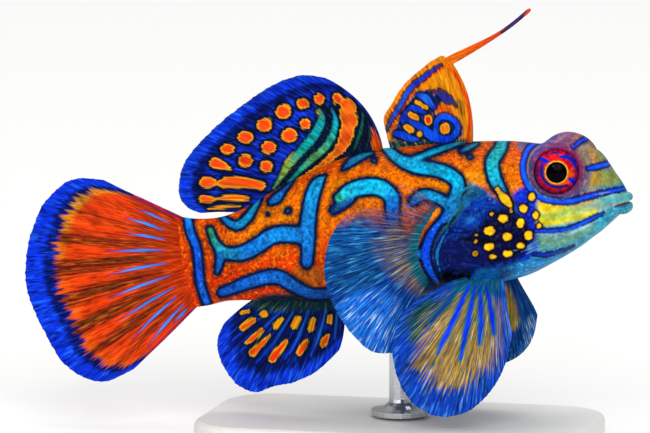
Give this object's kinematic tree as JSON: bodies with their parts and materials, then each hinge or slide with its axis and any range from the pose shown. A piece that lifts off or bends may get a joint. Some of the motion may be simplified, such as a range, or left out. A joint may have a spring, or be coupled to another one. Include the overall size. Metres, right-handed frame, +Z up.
{
  "type": "mandarinfish display model",
  "caption": "Life-size still model of a mandarinfish with all fins spread, held over a small flat base by one short rod.",
  "frame": {"origin": "middle of the underside of the stand's base", "axes": "+X towards the fish's nose, +Z up, -Y the side of the fish that the picture shows"},
  "size_m": [0.07, 0.024, 0.0497],
  "materials": {
    "skin": "satin, painted orange with blue-green bands",
    "fin_orange": "satin, painted orange with blue margins",
    "fin_blue": "satin, painted blue with orange marks",
    "eye": "polished red with a gold ring and black pupil",
    "stand_board": "satin off-white",
    "stand_steel": "satin"
  },
  "bodies": {
    "root": {"head": "skin", "trunk": "skin", "tail_stalk": "skin", "eye_right": "eye", "eye_left": "eye", "first_dorsal_fin": "fin_orange", "first_dorsal_filament": "fin_orange", "second_dorsal_fin": "fin_orange", "anal_fin": "fin_blue", "caudal_fin": "fin_orange", "pectoral_fin_right": "fin_blue", "pectoral_fin_left": "fin_blue", "pelvic_fin_right": "fin_blue", "pelvic_fin_left": "fin_blue", "stand_base": "stand_board", "stand_rod": "stand_steel"}
  },
  "joints": []
}
